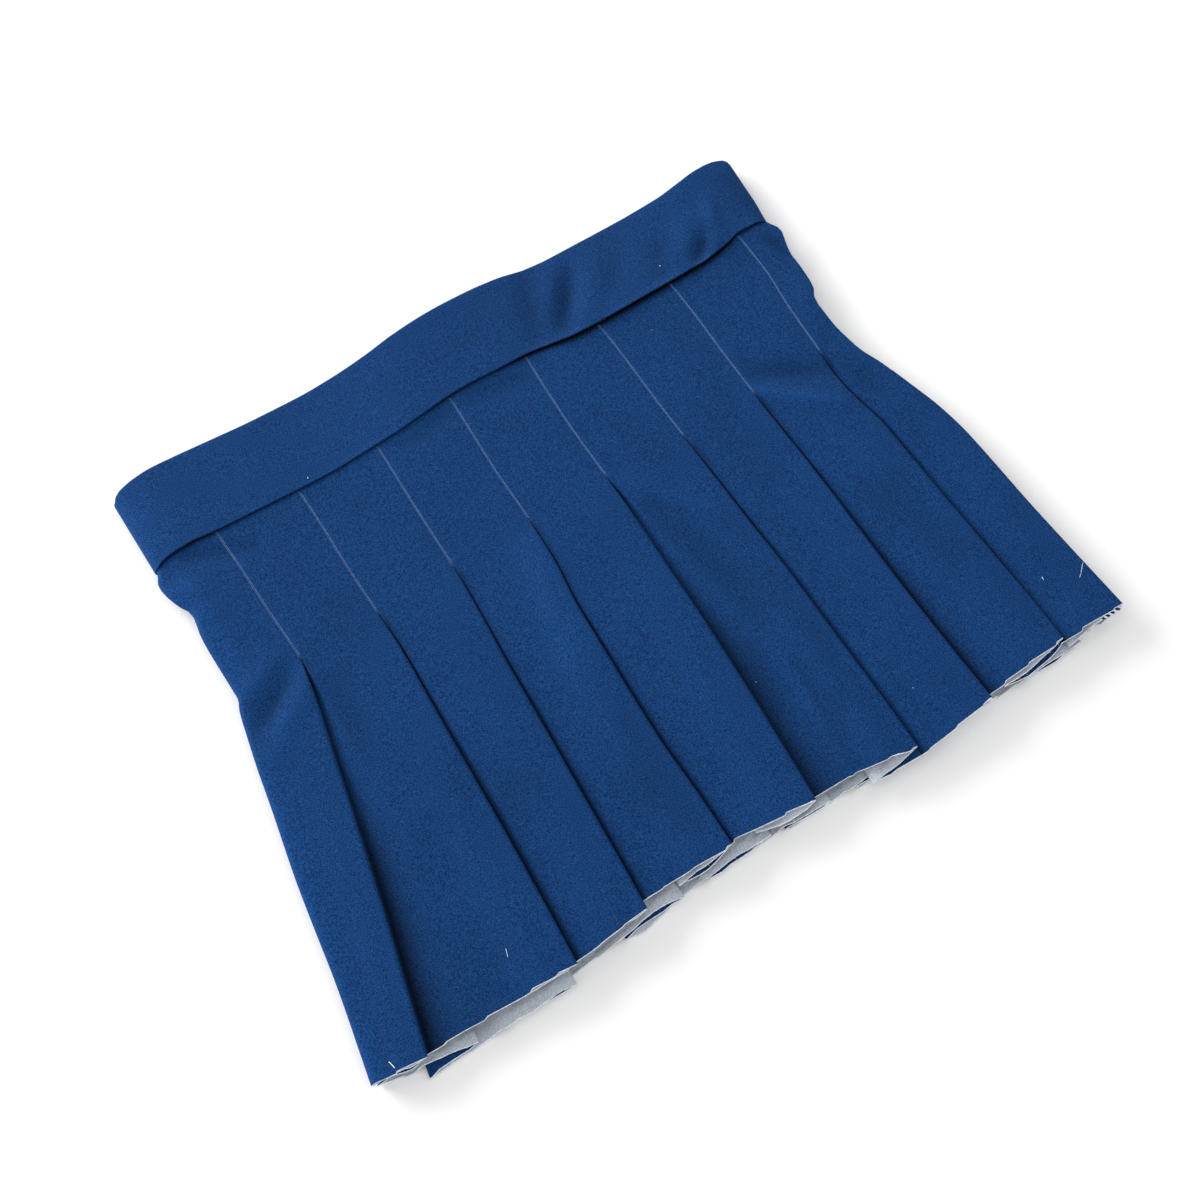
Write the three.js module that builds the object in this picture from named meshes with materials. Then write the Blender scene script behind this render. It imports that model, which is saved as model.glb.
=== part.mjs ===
// A knife-pleated tennis skirt laid flat, front up: a folded waistband loop, a front panel and a back panel.
// Millimetres. X runs across the waist, +Y towards the waistband, Z up from the surface that it lies on.
import * as THREE from 'three';

// Cloth
const CLOTH = 1.1; // thickness of the knit
const AIR = 0.35; // between two layers that lie on each other
const LAYER = CLOTH + AIR;
const SEAM_GAP = 0.3; // between two pieces at a seam
const LAYERS_A_PANEL = 3; // visible, return and underlay
const STACK = 2 * LAYERS_A_PANEL * LAYER - AIR; // height of both panels, pleated and laid on each other

// Skirt panels
const LENGTH = 245; // waist seam to hem
const STITCHED = 72; // length of the stitching that holds each pleat down
const UNDERLAY = 20; // depth of a pleat while it is stitched down
const SIDE_SEAM_IN = 6; // side seams lie this far in from the front's edges
const BACK_INSET = 2.5; // the back's edges lie this far inside the front's
const STITCHED_STEP = 1.75; // width of the steep step from one stitched panel up to the next
const STEP_PAST_FOLD = 0.1; // while stitched, the step starts this far past the fold beside it
const STEP_UNDER_FOLD = 0.4; // and once open, this far under it
const STEP_CLEARANCE = 2; // an open step ends this far before the next pleat's underlay
const OPENED_OVER = 90; // length below the stitching over which the steps widen
const EDGE_CLEARANCE = 2.8; // an underlay stays this far inside the rolled left edge
const FOLD_SWING = 1.1; // power of the folds' drift from the stitching to the hem

// Waistband
const BAND_WALL = 2.6; // folded knit with elastic inside
const BAND_FRONT_TOP = 9.1; // height of its front face at the waist seam
const BAND_RIGHT_FLARE = 3.2; // its right edge leans out by this much at the top
const BAND_LEFT_FLARE = 0.5;

const HALF = CLOTH / 2;
const FOLD_RADIUS = LAYER / 2;
// A fold is a turn in two straight steps, so its tip reaches this far past the turn's centre.
const FOLD_REACH = FOLD_RADIUS + HALF * Math.SQRT2;
const SIDE_ROLL_STEPS = 3;

// The waist seam isn't straight. At each front pleat's fold: how far the seam strays up or down, where the band's top
// edge is, and how high that edge stands.
const WAIST = [
  { x: -164, seam: -2.8, top: 42.5, topHeight: 8.2 },
  { x: -132, seam: -0.2, top: 46.4, topHeight: 8.7 },
  { x: -91.5, seam: -1.2, top: 44.7, topHeight: 8.1 },
  { x: -51, seam: -1.2, top: 43.6, topHeight: 6.9 },
  { x: -10.5, seam: 2.5, top: 46.1, topHeight: 8.8 },
  { x: 30.5, seam: 1.8, top: 45.9, topHeight: 8.9 },
  { x: 69, seam: -2.9, top: 44.4, topHeight: 6.9 },
  { x: 109, seam: -2.4, top: 43.7, topHeight: 7.1 },
  { x: 149.5, seam: 2.4, top: 46.3, topHeight: 8.9 },
  { x: 167.5, seam: 2.2, top: 43.2, topHeight: 8.2 },
];
// The back's waist seam is straight between its first and last pleat, and meets the front's at the sides.
const BACK_WAIST = [
  { x: -164, seam: -2.8 },
  { x: -145, seam: -1.3 },
  { x: 140, seam: 1.2 },
  { x: 158, seam: 2.3 },
  { x: 167.5, seam: 2.2 },
];

// Sections of the front panel by their distance below the waist seam: its two edges, and how far a fold stands up.
const FRONT_SECTIONS = [
  { below: 0, left: -164.4, right: 167.8, tilt: 0 },
  { below: 2.5, left: -165.2, right: 170.0, tilt: 0 },
  { below: 6, left: -166.4, right: 170.3, tilt: 0 },
  { below: 13, left: -166.0, right: 168.4, tilt: 0 },
  { below: 21, left: -163.3, right: 167.2, tilt: 0 },
  { below: 28, left: -160.5, right: 166.9, tilt: 0 },
  { below: 40, left: -162.4, right: 165.0, tilt: 0 },
  { below: 48, left: -162.7, right: 161.8, tilt: 0 },
  { below: 60, left: -162.8, right: 161.7, tilt: 0 },
  { below: 72, left: -162.3, right: 163.2, tilt: 0.1 },
  { below: 78, left: -164.4, right: 165.4, tilt: 0.2 },
  { below: 90, left: -167.4, right: 169.8, tilt: 0.4 },
  { below: 124, left: -173.7, right: 177.3, tilt: 0.8 },
  { below: 156, left: -178.9, right: 180.6, tilt: 1.1 },
  { below: 200, left: -187.0, right: 183.2, tilt: 1.4 },
  { below: 245, left: -195.6, right: 186.8, tilt: 1.6 },
];

// Pleats from left to right, the last at the panel's right edge: where the fold is while stitched and at the hem, and
// how deep the pleat is at the hem; the panel's length at the fold, at the hidden inner fold and where the next panel
// comes out; and how far the face stands off the layers under it.
const FRONT_PLEATS = [
  { stitched: -132, hem: -171, depth: 16, length: 246.6, innerLength: 244.3, nextLength: 245.8, gape: 0.3 },
  { stitched: -91.5, hem: -102, depth: 30, length: 247.7, innerLength: 246.0, nextLength: 247.0, gape: 0.9 },
  { stitched: -51, hem: -65, depth: 28, length: 244.1, innerLength: 245.0, nextLength: 242.7, gape: 0.7 },
  { stitched: -10.5, hem: -20, depth: 28, length: 241.0, innerLength: 242.9, nextLength: 239.9, gape: 1.2 },
  { stitched: 30.5, hem: 20, depth: 29, length: 244.1, innerLength: 241.9, nextLength: 243.1, gape: 0.8 },
  { stitched: 69, hem: 70, depth: 25, length: 248.2, innerLength: 250.6, nextLength: 250.2, gape: 1.8 },
  { stitched: 109, hem: 110, depth: 30, length: 248.3, innerLength: 247.5, nextLength: 246.0, gape: 0.3 },
  { stitched: 149.5, hem: 153, depth: 34, length: 243.3, innerLength: 246.5, nextLength: 243.9, gape: 0.9 },
  { stitched: null, hem: null, depth: 31, length: 244.5, innerLength: 247.3, nextLength: 244.5, gape: 0.6 },
];
const LEFT_SEAM_LENGTH = 244;
const RIGHT_SEAM_LENGTH = 244.5;
const SIDE_DEPTH = 9.5; // depth of the fold at the side while the others are stitched

// The same for the back panel, as seen from behind.
const BACK_PLEATS = [
  { stitched: -140, hem: -131, depth: 30, length: 248.4, innerLength: 248.0, nextLength: 248.0, gape: 0 },
  { stitched: -99, hem: -85, depth: 30, length: 248.0, innerLength: 248.0, nextLength: 248.0, gape: 0 },
  { stitched: -58, hem: -40, depth: 32, length: 248.0, innerLength: 247.2, nextLength: 247.2, gape: 0 },
  { stitched: -17, hem: -4, depth: 23, length: 247.2, innerLength: 247.2, nextLength: 246.5, gape: 0 },
  { stitched: 24, hem: 35, depth: 32.5, length: 248.2, innerLength: 245.7, nextLength: 246.5, gape: 0 },
  { stitched: 66, hem: 78, depth: 30, length: 249.0, innerLength: 247.9, nextLength: 249.0, gape: 0 },
  { stitched: 107, hem: 137, depth: 32, length: 252.0, innerLength: 253.8, nextLength: 253.0, gape: 0 },
  { stitched: 145, hem: 172, depth: 22, length: 252.4, innerLength: 252.3, nextLength: 250.0, gape: 0 },
  { stitched: null, hem: null, depth: 13, length: 248.0, innerLength: 248.0, nextLength: 246.0, gape: 0 },
];

const COLOURS = { waistband: 0x1f3f80, skirt_front: 0x1d3c7c, skirt_back: 0x1b3874 };

// A value between two rows of a table that is ordered by x.
function along(rows, column, x) {
  if (x <= rows[0].x) return rows[0][column];
  if (x >= rows.at(-1).x) return rows.at(-1)[column];
  const i = rows.findIndex((row) => row.x > x);
  const t = (x - rows[i - 1].x) / (rows[i].x - rows[i - 1].x);
  return THREE.MathUtils.lerp(rows[i - 1][column], rows[i][column], t);
}

// Middle height of a layer in a panel's own frame: 0 is the visible one, and higher numbers lie further in.
const levelHeight = (level) => STACK - HALF - level * LAYER;

// 0 while a pleat is stitched down, growing to 1 at the hem.
const openness = (below) => Math.max(0, (below - STITCHED) / (LENGTH - STITCHED)) ** FOLD_SWING;

// A panel's pleats at one section: the place of each fold's edge and of the fold under it.
function pleatsAt(panel, section) {
  const open = openness(section.below);
  return panel.pleats.map((pleat) => {
    const side = pleat.stitched === null;
    const fold = side ? section.right : THREE.MathUtils.lerp(pleat.stitched, pleat.hem, open);
    const depth = THREE.MathUtils.lerp(side ? SIDE_DEPTH : UNDERLAY, pleat.depth, open);
    const inner = Math.max(fold - depth, section.left + EDGE_CLEARANCE);
    return { ...pleat, fold, inner, gape: pleat.gape * open };
  });
}

// One section of a panel: the middle line of its cloth, from its left side seam to its right one.
function panelSection(panel, section) {
  const path = [];
  const add = (x, z, length) => path.push({ x, z, length });
  const tilt = section.tilt * panel.tiltShare;
  const visible = levelHeight(0);
  const back = levelHeight(1);
  const under = levelHeight(2);
  const seam = levelHeight(3);

  // It comes out from under the left edge and rolls up round it.
  const roll = (visible - seam) / 2;
  const rollCentre = section.left + HALF + roll * Math.cos(Math.PI / (2 * SIDE_ROLL_STEPS));
  add(panel.leftSeam(section), seam, panel.leftLength);
  for (let i = 0; i <= SIDE_ROLL_STEPS; i++) {
    const turn = (Math.PI * i) / SIDE_ROLL_STEPS;
    add(rollCentre - roll * Math.sin(turn), seam + roll * (1 - Math.cos(turn)), panel.leftLength);
  }

  const pleats = pleatsAt(panel, section);
  pleats.forEach((pleat, i) => {
    const { fold, inner, length, innerLength, gape } = pleat;
    const before = pleats[i - 1];
    if (before) {
      // The step up from under the fold before it.
      const loose = Math.min(1, Math.max(0, section.below - STITCHED) / OPENED_OVER);
      const start = before.fold + THREE.MathUtils.lerp(STEP_PAST_FOLD, -STEP_UNDER_FOLD, loose);
      const width = THREE.MathUtils.lerp(STITCHED_STEP, inner - STEP_CLEARANCE - start, loose);
      add(start, under + tilt, before.nextLength);
      add(start + width / 2, (under + tilt + visible) / 2, before.nextLength);
      add(start + width, visible, before.nextLength);
    }
    const lengthBefore = before ? before.nextLength : panel.leftLength;
    add((fold + inner) / 2, visible + tilt / 2 + gape, (length + lengthBefore) / 2);
    // The fold over, the cloth back under it, and the fold that turns it forward again.
    const tip = fold - FOLD_REACH;
    add(tip, visible + tilt, length);
    add(tip + FOLD_RADIUS, visible + tilt - FOLD_RADIUS, length);
    add(tip, back + tilt, length);
    const innerTip = inner + FOLD_REACH;
    add(innerTip, back, innerLength);
    add(innerTip - FOLD_RADIUS, back - FOLD_RADIUS, innerLength);
    add(innerTip, under, innerLength);
  });
  add(panel.rightSeam(section), under, panel.rightLength);
  return path;
}

// Where a point of a section lies along Y.
function acrossY(panel, section, point) {
  const stray = along(panel.waist, 'seam', point.x * panel.flip) * (1 - Math.min(1, section.below / STITCHED));
  return stray - SEAM_GAP / 2 - (section.below * point.length) / LENGTH;
}

// Offsets a section's middle line to both faces of the cloth.
function bothFaces(path, thickness) {
  const heading = (a, b) => Math.atan2(b.z - a.z, b.x - a.x);
  return path.map((point, i) => {
    const before = heading(path[Math.max(0, i - 1)], path[Math.max(1, i)]);
    const after = heading(path[Math.min(i, path.length - 2)], path[Math.min(i + 1, path.length - 1)]);
    const bend = Math.atan2(Math.sin(after - before), Math.cos(after - before));
    const normal = before + bend / 2 + Math.PI / 2;
    const reach = thickness / 2 / Math.cos(bend / 2);
    const out = { x: point.x + reach * Math.cos(normal), z: point.z + reach * Math.sin(normal) };
    const inside = { x: point.x - reach * Math.cos(normal), z: point.z - reach * Math.sin(normal) };
    return { out, inside };
  });
}

// The panel's solid: both faces of the cloth through all its sections, closed along the side seams, waist and hem.
function panelGeometry(panel) {
  const positions = [];
  const indices = [];
  const sections = panel.sections.map((section) => {
    const path = panelSection(panel, section);
    return bothFaces(path, CLOTH).map((faces, i) => {
      const y = acrossY(panel, section, path[i]);
      return [faces.out, faces.inside].map((p) => positions.push(p.x, y, p.z) / 3 - 1);
    });
  });
  const quad = (a, b, c, d) => indices.push(a, b, c, a, c, d);
  const count = sections[0].length;
  for (let j = 0; j + 1 < sections.length; j++) {
    const [upper, lower] = [sections[j], sections[j + 1]];
    for (let i = 0; i + 1 < count; i++) {
      quad(upper[i][0], lower[i][0], lower[i + 1][0], upper[i + 1][0]);
      quad(upper[i][1], upper[i + 1][1], lower[i + 1][1], lower[i][1]);
    }
    quad(upper[0][0], upper[0][1], lower[0][1], lower[0][0]);
    quad(upper[count - 1][0], lower[count - 1][0], lower[count - 1][1], upper[count - 1][1]);
  }
  const [first, last] = [sections[0], sections.at(-1)];
  for (let i = 0; i + 1 < count; i++) {
    quad(first[i][0], first[i + 1][0], first[i + 1][1], first[i][1]);
    quad(last[i][0], last[i][1], last[i + 1][1], last[i + 1][0]);
  }
  return geometryFrom(positions, indices);
}

function geometryFrom(positions, indices) {
  const geometry = new THREE.BufferGeometry();
  geometry.setAttribute('position', new THREE.Float32BufferAttribute(positions, 3));
  geometry.setIndex(indices);
  geometry.computeVertexNormals();
  return geometry;
}

// The waistband's wall: a flattened loop of a bar with a rounded top and bottom edge.
const BAND_PROFILE = [
  { up: 0.03, out: 1 },
  { up: 0.5, out: 1 },
  { up: 0.97, out: 1 },
  { up: 0.992, out: 0.7 },
  { up: 1, out: 0 },
  { up: 0.992, out: -0.7 },
  { up: 0.97, out: -1 },
  { up: 0.5, out: -1 },
  { up: 0.03, out: -1 },
  { up: 0.008, out: -0.7 },
  { up: 0, out: 0 },
  { up: 0.008, out: 0.7 },
];
const BAND_ROLL_STEPS = 5;

// Stations round the band: along the front from left to right, round the right edge, back behind, round the left edge.
function bandStations() {
  const between = (rows, side) => rows.slice(1, -1).map(({ x }) => ({ side, x }));
  const roll = (side) => {
    return Array.from({ length: BAND_ROLL_STEPS + 1 }, (_, i) => ({ side, turn: (Math.PI * i) / BAND_ROLL_STEPS }));
  };
  const behind = between(BACK_WAIST, 'back').reverse();
  return [...between(WAIST, 'front'), ...roll('right'), ...behind, ...roll('left')];
}

function bandPoint(station, profile) {
  const wall = BAND_WALL / 2;
  const out = profile.out * wall;
  const heightAt = (x) => THREE.MathUtils.lerp(BAND_FRONT_TOP, along(WAIST, 'topHeight', x), profile.up);
  const place = (x, z, waist = WAIST) => {
    const seam = along(waist, 'seam', x) + SEAM_GAP / 2;
    return [x, THREE.MathUtils.lerp(seam, along(WAIST, 'top', x), profile.up), z];
  };
  if (station.side === 'front') return place(station.x, heightAt(station.x) - wall + out);
  if (station.side === 'back') return place(station.x, wall - out, BACK_WAIST);

  const right = station.side === 'right';
  const edge = right
    ? WAIST.at(-1).x + BAND_RIGHT_FLARE * profile.up
    : WAIST[0].x - BAND_LEFT_FLARE * profile.up;
  const away = right ? 1 : -1;
  const roll = heightAt(edge) / 2 - wall;
  const turn = right ? station.turn : Math.PI - station.turn;
  const x = edge - away * (roll + wall) + away * (roll + out) * Math.sin(turn);
  return place(x, wall + roll + (roll + out) * Math.cos(turn));
}

function bandGeometry() {
  const rings = bandStations().map((station) => BAND_PROFILE.map((profile) => bandPoint(station, profile)));
  const indices = [];
  const [around, across] = [rings.length, BAND_PROFILE.length];
  const at = (i, j) => (i % around) * across + (j % across);
  for (let i = 0; i < around; i++) {
    for (let j = 0; j < across; j++) {
      indices.push(at(i, j), at(i + 1, j), at(i + 1, j + 1), at(i, j), at(i + 1, j + 1), at(i, j + 1));
    }
  }
  return geometryFrom(rings.flat(2), indices);
}

const front = {
  flip: 1,
  waist: WAIST,
  sections: FRONT_SECTIONS,
  pleats: FRONT_PLEATS,
  leftLength: LEFT_SEAM_LENGTH,
  rightLength: RIGHT_SEAM_LENGTH,
  tiltShare: 1,
  leftSeam: (section) => section.left + SIDE_SEAM_IN,
  rightSeam: (section) => section.right - SIDE_SEAM_IN,
};
// The back is made as seen from behind, then turned over and laid under the front.
const back = {
  flip: -1,
  waist: BACK_WAIST,
  sections: FRONT_SECTIONS.map(({ below, left, right, tilt }) => {
    return { below, left: BACK_INSET - right, right: -BACK_INSET - left, tilt };
  }),
  pleats: BACK_PLEATS,
  leftLength: RIGHT_SEAM_LENGTH,
  rightLength: LEFT_SEAM_LENGTH,
  tiltShare: 0,
  leftSeam: (section) => section.left - BACK_INSET + SIDE_SEAM_IN - SEAM_GAP,
  rightSeam: (section) => section.right + BACK_INSET - SIDE_SEAM_IN - SEAM_GAP,
};

function piece(name, geometry) {
  const material = new THREE.MeshStandardMaterial({ color: COLOURS[name], roughness: 0.85, metalness: 0 });
  const mesh = new THREE.Mesh(geometry, material);
  mesh.name = name;
  return mesh;
}

const waistband = piece('waistband', bandGeometry());
const skirtFront = piece('skirt_front', panelGeometry(front));
const skirtBack = piece('skirt_back', panelGeometry(back));
skirtBack.rotation.y = Math.PI;
skirtBack.position.z = STACK;

const group = new THREE.Group();
group.add(waistband, skirtFront, skirtBack);

// The origin is the middle of the underside.
group.updateMatrixWorld(true);
const box = new THREE.Box3().setFromObject(group);
group.position.set(-(box.min.x + box.max.x) / 2, -(box.min.y + box.max.y) / 2, 0);

export default group;
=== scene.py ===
"""A knife-pleated tennis skirt laid flat, front up, on a pale table.

The cloth pieces are made again, finer, on the forms of their rigid solids: a folded waistband, a front panel and a
back panel. Forms are worked out in millimetres in the cutter's frame, with X across the waist, Y up from the waist
seam and Z up from the table, and are moved to the part's own frame at the end.
"""

import functools
import math
from typing import NamedTuple

import bpy
import numpy as np
from bpy.props import FloatProperty, FloatVectorProperty, IntProperty, PointerProperty
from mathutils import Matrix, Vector


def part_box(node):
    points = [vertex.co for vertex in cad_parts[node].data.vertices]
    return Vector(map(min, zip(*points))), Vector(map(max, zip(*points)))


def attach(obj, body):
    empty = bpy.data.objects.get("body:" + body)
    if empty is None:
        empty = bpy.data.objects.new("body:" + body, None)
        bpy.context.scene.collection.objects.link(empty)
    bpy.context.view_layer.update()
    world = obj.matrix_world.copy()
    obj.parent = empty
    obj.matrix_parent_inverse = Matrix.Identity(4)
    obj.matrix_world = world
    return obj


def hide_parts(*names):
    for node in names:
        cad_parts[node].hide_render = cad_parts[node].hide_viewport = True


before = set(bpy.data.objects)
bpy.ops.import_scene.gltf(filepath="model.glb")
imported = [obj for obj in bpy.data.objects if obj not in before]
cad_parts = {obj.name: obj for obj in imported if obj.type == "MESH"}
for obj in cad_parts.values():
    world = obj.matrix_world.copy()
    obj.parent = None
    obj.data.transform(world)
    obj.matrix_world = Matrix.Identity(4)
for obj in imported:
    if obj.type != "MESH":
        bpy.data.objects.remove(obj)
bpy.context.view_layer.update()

bl_info = {
    "name": "Pleated tennis skirt",
    "version": (1, 0, 0),
    "blender": (4, 5, 0),
    "location": "3D View > Sidebar > Skirt",
    "description": "Makes a knife-pleated tennis skirt laid flat, with its sewing and its cloth",
    "category": "Object",
}

MM = 0.001

# Cloth and layers, in millimetres
CLOTH = 1.1
AIR = 0.35
LAYER = CLOTH + AIR
STACK = 6 * LAYER - AIR
HALF = CLOTH / 2
SHEET = 0.8
SEAM_GAP = 0.3
OPEN_FOLD = LAYER / 2
PRESSED_FOLD = 0.32

# Skirt panels: from the waist seam to the hem and to the end of the stitching, how deep the pleats and the fold at
# the side are while stitched, how far in the side seams are, and how much narrower the back is at each side.
LENGTH = 245
STITCHED = 72
UNDERLAY = 20
SIDE_DEPTH = 9.5
SIDE_SEAM_IN = 6
BACK_INSET = 2.5
# The power by which folds swing out below the stitching, and the least room left of an inner fold.
FOLD_SWING = 1.1
EDGE_CLEARANCE = 2.8
# The rise beside a fold: how wide it is while stitched, where it starts from the fold while stitched and while
# loose, how far it stays from the next inner fold, and the radius of its bends while stitched and while loose.
STITCHED_STEP = 0.7
STEP_PAST_FOLD = 0.2
STEP_UNDER_FOLD = 0.4
STEP_CLEARANCE = 2
STEP_BEND, STEP_BEND_LOOSE = 0.34, 14.34
# Over what distance below the stitching pleats come loose, and how much sooner their folds open.
OPENED_OVER = 90
FOLD_OPENS_SOONER = 4
# The pale line along a stitched fold: where it starts, over what distance it fades at its end, and how strong it
# is on the rise beside it.
MARK_START = 1.6
MARK_FADE = 5
MARK_ON_RISE = 0.6

# The band: its wall, the top of its front over the table, how far its lip hangs over the skirt, and its height
BAND_WALL = 2.6
BAND_TOP = 9.1
BAND_OVERHANG = 0.9
BAND_HEIGHT = 45.0
# How far from its corners its front's rings end, and the cloth's length from ring to ring round an end and along
# the whole back.
BAND_INSET = 8.0
BAND_END_STEP = 1.2
BAND_BACK_LENGTH = 320
# The shares of its height that its rounded top and its lower lip take, and where the lip's curl is in the wall.
TOP_ROUND, LIP_SHARE = 0.03, 0.06
LIP_MIDDLE, LIP_CURL = 0.72, 0.28
# How strong the pale line on its top edge is, partly the pale core at the fold and partly a painted highlight, how
# wide, and above what height it shows, and above what height the band is its front.
EDGE_MARK, EDGE_MARK_WIDTH, EDGE_MARK_ABOVE = 0.55, 0.4, 4
BAND_FRONT_ABOVE = 5
# How far its right end leans out towards the top, how far the foot there is drawn in and over what share of the
# height, and how far the left end stands out and leans.
RIGHT_LEAN, RIGHT_FOOT, RIGHT_FOOT_SHARE = 3.2, 0.9, 0.3
LEFT_OUT, LEFT_LEAN = 0.8, 0.2
# How far below the waist seam the panels' cut edge is out of sight.
TURNED_IN = 20.0
# How deep and over what distance the skirt sinks at the waist seam.
SEAM_SINK, SEAM_SINK_WIDTH = 0.45, 1.3

# The waist seam and the band's top edge along the front, and how high that edge stands.
WAIST_SEAM = (
    # x, y
    (-164.4, -0.4),
    (-162, 0.8),
    (-159, 2.0),
    (-152, 3.2),
    (-144, 3.4),
    (-136, 2.6),
    (-120, 1.6),
    (-104, 0.8),
    (-88, 0.0),
    (-74, -0.4),
    (-56, 0.4),
    (-40, 1.2),
    (-24, 2.8),
    (-8, 4.4),
    (0, 4.6),
    (16, 4.0),
    (32, 3.4),
    (40, 2.4),
    (48, 1.0),
    (56, -0.1),
    (72, -0.6),
    (96, -0.4),
    (128, 0.1),
    (136, 1.2),
    (144, 2.8),
    (152, 4.9),
    (160, 4.8),
    (167.5, 3.2),
)
BAND_EDGE = (
    # x, y, height
    (-164.4, 40.2, 7.4),
    (-162.4, 42.2, 8.0),
    (-159, 43.6, 8.2),
    (-152, 45.2, 8.4),
    (-144, 45.8, 8.6),
    (-132, 45.1, 8.7),
    (-112, 43.6, 8.4),
    (-91.5, 42.2, 8.1),
    (-68, 41.8, 7.3),
    (-51, 42.6, 6.9),
    (-32, 44.0, 7.8),
    (-16, 46.1, 8.6),
    (0, 47.4, 8.9),
    (8, 47.6, 9.0),
    (24, 47.2, 8.9),
    (40, 46.0, 8.3),
    (48, 44.8, 7.8),
    (56, 43.4, 7.3),
    (66, 42.6, 6.9),
    (90, 42.3, 6.9),
    (109, 42.1, 7.1),
    (128, 42.3, 7.9),
    (144, 44.1, 8.6),
    (152, 45.2, 8.8),
    (158, 45.4, 8.8),
    (163.4, 45.0, 8.6),
    (166, 44.3, 8.3),
    (168.6, 43.3, 8.0),
    (170.6, 41.7, 7.7),
    (171.8, 39.0, 7.4),
)
# How far up and how far left the solids reach.
CAD_BAND_REACH = 46.4
CAD_LEFT_REACH = -195.6
BACK_SEAM = ((-164.4, -0.4), (-145, 0.6), (140, 2.2), (167.5, 3.2))
# How high the band's lower lip stands over the skirt, and how wide the dark gap under it is, with a painted
# shadow.
# The painted shadow starts under the lip, and is weaker where the gap is narrower than its full width.
LIP_PAINTED_SHADOW, LIP_PAINTED_SHADOW_START, LIP_FULL_GAP = 0.96, 0.75, 1.2
LIP = (
    # x, rise, gap
    (-164, 0.3, 0.6),
    (-144, 0.4, 0.9),
    (-120, 0.1, 0.3),
    (-60, 0.0, 0.12),
    (-40, 0.0, 0.15),
    (-8, 0.3, 0.6),
    (8, 0.2, 0.4),
    (20, 0.3, 0.8),
    (36, 0.6, 1.5),
    (72, 0.9, 2.1),
    (112, 0.9, 2.0),
    (140, 0.7, 1.5),
    (152, 0.4, 0.8),
    (167, 0.2, 0.5),
)

# The front's outline: how far below the waist seam, its left and right edges, and how far folds stand up there.
OUTLINE = (
    # below, left, right, tilt
    (0, -164.6, 166.3, 0),
    (3.2, -165.4, 167.8, 0),
    (6, -166.8, 169.5, 0),
    (9, -166.9, 169.7, 0),
    (13, -166.2, 168.4, 0),
    (21, -163.6, 166.4, 0),
    (28, -160.8, 166.1, 0),
    (40, -162.6, 164.9, 0),
    (48, -162.8, 161.0, 0),
    (60, -162.7, 160.9, 0),
    (72, -162.6, 162.2, 0.1),
    (78, -164.8, 163.3, 0.2),
    (90, -167.6, 167.6, 0.4),
    (105, -170.8, 171.7, 0.6),
    (124, -174.3, 176.4, 0.8),
    (140, -177.5, 178.6, 1.0),
    (156, -180.6, 179.5, 1.1),
    (180, -184.4, 180.4, 1.3),
    (200, -187.4, 181.6, 1.4),
    (245, -196.0, 184.8, 1.6),
)


class Pleat(NamedTuple):
    """A row of a pleat table. The last row is the soft fold at the side, which follows the outline."""

    stitched: float  # where the fold is while stitched down
    hem: float  # where it is at the hem
    depth: float  # from the fold to the hidden inner fold, at the hem
    at_fold: float  # the hem's length at the fold,
    at_inner: float  # at the inner fold
    at_next: float  # and where the next panel comes out
    return_bow: float  # how far the hem bows out or in along the return,
    under_bow: float  # along the underlay
    face_bow: float = 0.0  # and along the face
    gape: float = 0.0  # how far the face stands off what lies under it
    rise: float = 12.0  # how wide the next panel's rise beside the fold is at the hem
    # Painted shade: the hollow beside a fold is darkened in the colour, where shade falls.
    dark: float = 0.0  # how dark the hollow there is
    dark_width: float = 1.0  # and how wide


# Pleats from left to right
FRONT_PLEATS = (
    # stitched, hem, depth, at fold, at inner, at next, return bow, under bow, face bow, gape, rise, dark, width
    (-132, -171, 16, 246.6, 244.9, 245.8, 0.2, 1.6, 0, 0.3, 20, 0.975, 9.0),
    (-91.5, -102, 30, 247.7, 246.0, 247.0, 0.4, 0.9, 0, 0.9, 6, 0.91, 3.2),
    (-51, -65, 28, 244.1, 245.0, 240.7, 0.4, 1.6, 0, 0.7, 4.5, 0.91, 3.0),
    (-10.5, -20, 28, 241.0, 242.9, 239.9, 0.0, 2.4, 0, 1.2, 4, 0.90, 2.3),
    (30.5, 20, 29, 244.1, 241.9, 243.1, 2.2, 2.6, 0, 0.8, 18, 0.72, 9.5),
    (69, 70, 25, 248.7, 250.8, 252.0, 0.5, 0.3, 0, 1.8, 5, 0.75, 1.9),
    (109, 110, 30, 248.3, 247.5, 246.0, 0.0, 0.8, 0, 0.3, 5, 0.88, 4.2),
    (149.5, 153, 34, 243.3, 246.5, 244.4, 0.9, 2.4, 0, 0.9, 6, 0.54, 1.9),
    (None, None, 31, 244.5, 246.8, None, -0.3, None, 0, 0.6),
)
BACK_PLEATS = (
    # stitched, hem, depth, at fold, at inner, at next, return bow, under bow, face bow
    (-140, -131, 30, 248.4, 248.0, 248.0, 0.6, 0.0),
    (-99, -85, 30, 248.0, 248.0, 248.0, 0.6, 0.0),
    (-58, -40, 32, 248.0, 247.2, 247.2, 0.6, -0.4),
    (-17, -4, 23, 247.0, 247.2, 245.8, 0.1, 0.0),
    (24, 35, 32.5, 246.6, 245.4, 246.4, 0.5, -0.5),
    (66, 78, 30, 248.6, 247.3, 248.4, -0.4, -1.7, 2.2),
    (107, 137, 32, 252.2, 253.4, 253.2, 0.5, -0.4),
    (145, 174.5, 24, 253.0, 251.9, 247.8, -0.3, 0.2),
    (None, None, 12, 244.4, 243.8, None, -0.2, None),
)
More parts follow.
